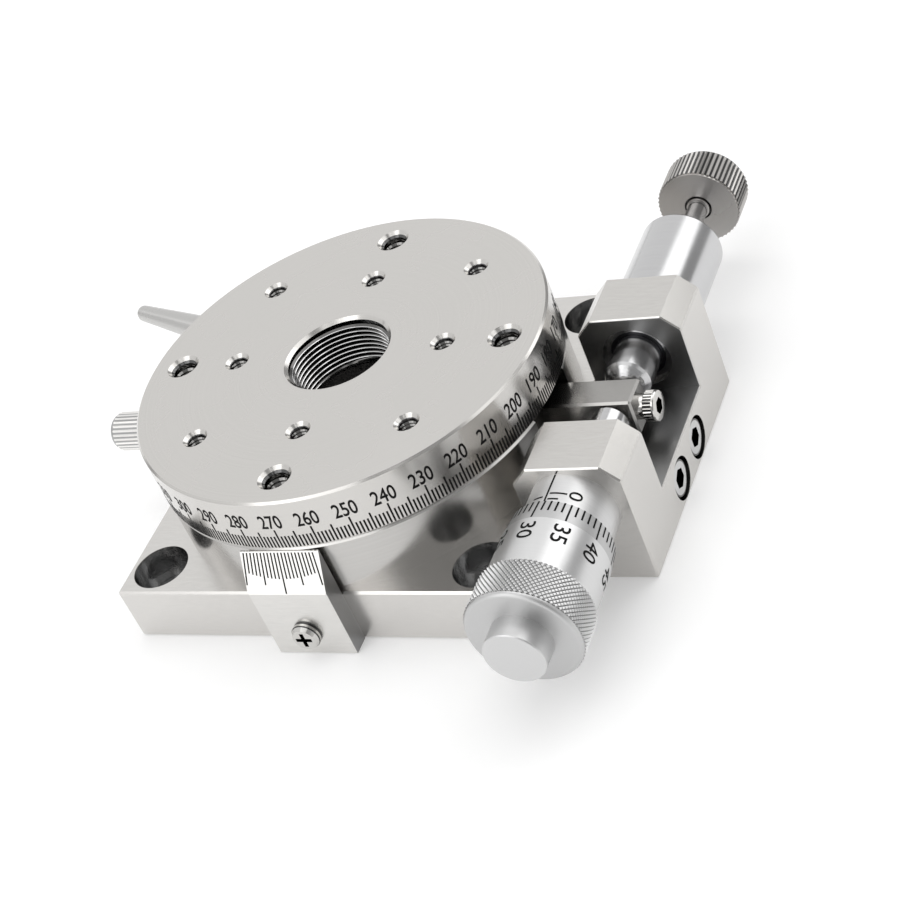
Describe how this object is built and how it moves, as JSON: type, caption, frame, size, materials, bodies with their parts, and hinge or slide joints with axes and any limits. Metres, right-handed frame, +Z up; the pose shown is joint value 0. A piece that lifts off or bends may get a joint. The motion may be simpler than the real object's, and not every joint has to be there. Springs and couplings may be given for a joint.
{
  "type": "manual rotation stage",
  "caption": "Manual rotation stage: square base, round tapped table on a crossed roller ring, tangent arm with micrometer and spring plunger, clamp screw, lock lever and vernier plate.",
  "frame": {"origin": "on the table's turning axis at the underside of the base, in the middle of the four base bolts", "axes": "+Z up along the turning axis, -Y towards the vernier plate and the micrometer's knob end, +X towards the bracket"},
  "size_m": [0.0996, 0.0937, 0.0247],
  "materials": {
    "satin_nickel": "satin nickel plate on steel",
    "satin_chrome": "satin chrome",
    "bright_chrome": "polished",
    "bearing_steel": "ground",
    "bright_screw": "bright nickel",
    "black_steel": "black oxide",
    "spring_steel": "drawn wire",
    "brass_pad": "turned",
    "spacer_plastic": "moulded"
  },
  "bodies": {
    "base": {"base_plate": "satin_nickel", "housing_ring": "satin_nickel", "housing_screws": "black_steel", "outer_race_lower": "bearing_steel", "outer_race_upper": "bearing_steel", "bearing_retainer": "bearing_steel", "lever_pin": "bearing_steel", "micrometer_bracket": "satin_nickel", "bracket_screws": "bright_screw", "bracket_grub_screws": "black_steel", "micrometer_sleeve": "satin_chrome", "plunger_barrel": "bright_chrome", "plunger_bush": "black_steel", "plunger_spring": "spring_steel", "vernier_plate": "satin_nickel", "vernier_screw": "bright_screw"},
    "tangent_ring": {"tangent_arm": "satin_nickel", "contact_pin": "bearing_steel", "arm_screw": "bright_screw", "arm_washer": "bright_screw"},
    "table": {"rotary_table": "satin_nickel", "table_hub": "satin_nickel", "hub_screws": "black_steel", "hub_nut": "satin_nickel", "inner_race": "bearing_steel"},
    "roller_train": {"crossed_rollers": "bearing_steel", "roller_spacers": "spacer_plastic"},
    "spindle": {"micrometer_spindle": "bright_chrome"},
    "thimble_assembly": {"thimble": "satin_chrome", "thimble_cap": "satin_chrome"},
    "plunger": {"plunger_rod": "bright_chrome", "plunger_knob": "satin_chrome"},
    "pad": {"clamp_pad": "brass_pad"},
    "thumb_screw": {"clamp_screw": "satin_chrome"},
    "lever": {"lock_lever": "satin_chrome"}
  },
  "joints": [
    {"name": "thimble_turn", "type": "hinge", "parent": "spindle", "child": "thimble_assembly", "pos_m": [0.03735, -0.033, 0.01249], "axis": [0, 1, 0], "range_deg": [-3530, 230]},
    {"name": "spindle_feed", "type": "slide", "parent": "base", "child": "spindle", "axis": [0, 1, 0], "range_m": [-0.00491, 0.00033]},
    {"name": "fine_rotation", "type": "hinge", "parent": "base", "child": "tangent_ring", "pos_m": [0, 0, 0.01155], "axis": [0, 0, 1], "range_deg": [-7.5, 0.5]},
    {"name": "plunger_slide", "type": "slide", "parent": "base", "child": "plunger", "axis": [0, 1, 0], "range_m": [-0.00491, 0.00033]},
    {"name": "coarse_rotation", "type": "hinge", "parent": "tangent_ring", "child": "table", "pos_m": [0, 0, 0.0207], "axis": [0, 0, 1], "continuous": true},
    {"name": "roller_orbit", "type": "hinge", "parent": "base", "child": "roller_train", "pos_m": [0, 0, 0.0053], "axis": [0, 0, 1], "continuous": true},
    {"name": "clamp_screw_turn", "type": "hinge", "parent": "pad", "child": "thumb_screw", "pos_m": [-0.0407, 0, 0.01235], "axis": [-1, 0, 0], "range_deg": [0, 360]},
    {"name": "clamp_pad_slide", "type": "slide", "parent": "tangent_ring", "child": "pad", "axis": [-1, 0, 0], "range_m": [0, 0.0005]},
    {"name": "lever_swing", "type": "hinge", "parent": "base", "child": "lever", "pos_m": [-0.02245, 0.01707, 0.0126], "axis": [0, 0, 1], "range_deg": [-12, 12]}
  ],
  "couplings": [
    {"joint": "spindle_feed", "follows": "thimble_turn", "m_per_rad": 0.000079577},
    {"joint": "fine_rotation", "follows": "thimble_turn", "ratio": 0.00212},
    {"joint": "plunger_slide", "follows": "thimble_turn", "m_per_rad": 0.000079577},
    {"joint": "roller_orbit", "follows": "coarse_rotation", "ratio": 0.4735},
    {"joint": "clamp_pad_slide", "follows": "clamp_screw_turn", "m_per_rad": 0.000079577}
  ]
}
